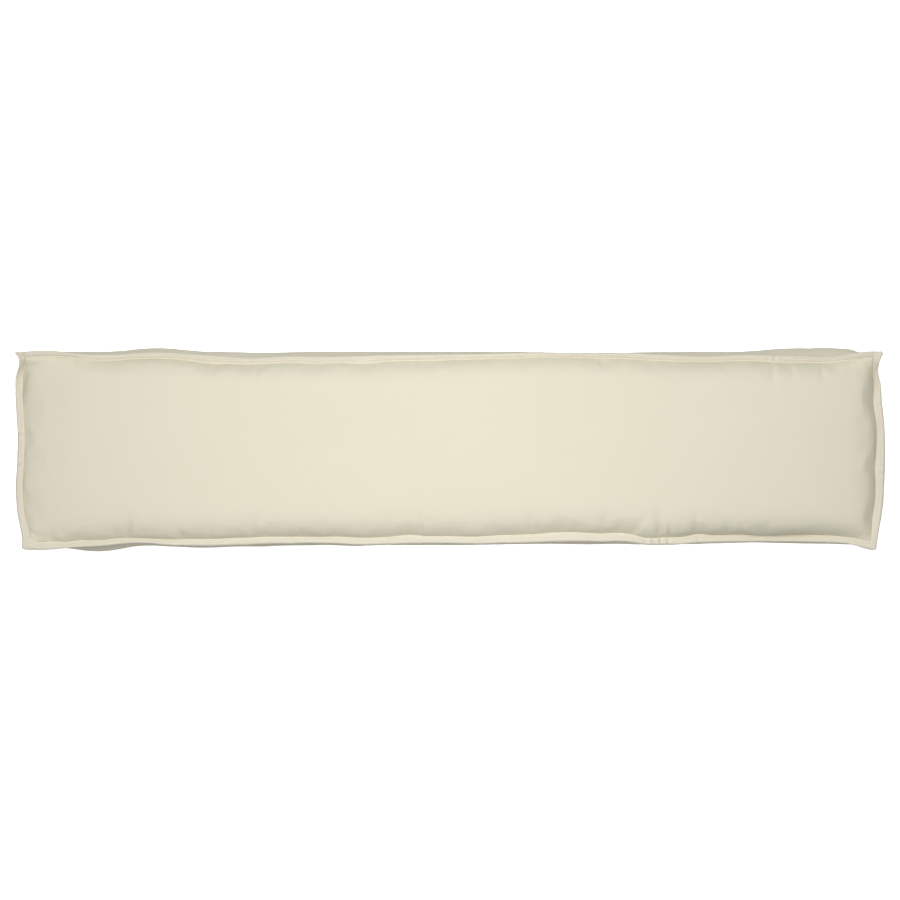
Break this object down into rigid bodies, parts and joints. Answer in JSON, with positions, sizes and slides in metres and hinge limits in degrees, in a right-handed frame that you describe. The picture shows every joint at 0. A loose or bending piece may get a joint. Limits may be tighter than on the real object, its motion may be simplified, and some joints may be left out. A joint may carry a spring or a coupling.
{
  "type": "pallet cushion",
  "caption": "Long narrow box cushion in plain cream cloth, with a crowned front and a flat sewn flange round each face, lying on its back.",
  "frame": {"origin": "centre of the bounding box's underside, where the back face rests", "axes": "+X along the cushion to its right end, +Y to its upper long side, +Z out of the front face"},
  "size_m": [1.1998, 0.2819, 0.12],
  "materials": {
    "cushion_cloth": "plain woven cream cloth, matt",
    "flange_cloth": "the same cream cloth, folded, pressed and topstitched"
  },
  "bodies": {
    "root": {"cushion": "cushion_cloth", "front_flange": "flange_cloth", "back_flange": "flange_cloth"}
  },
  "joints": []
}
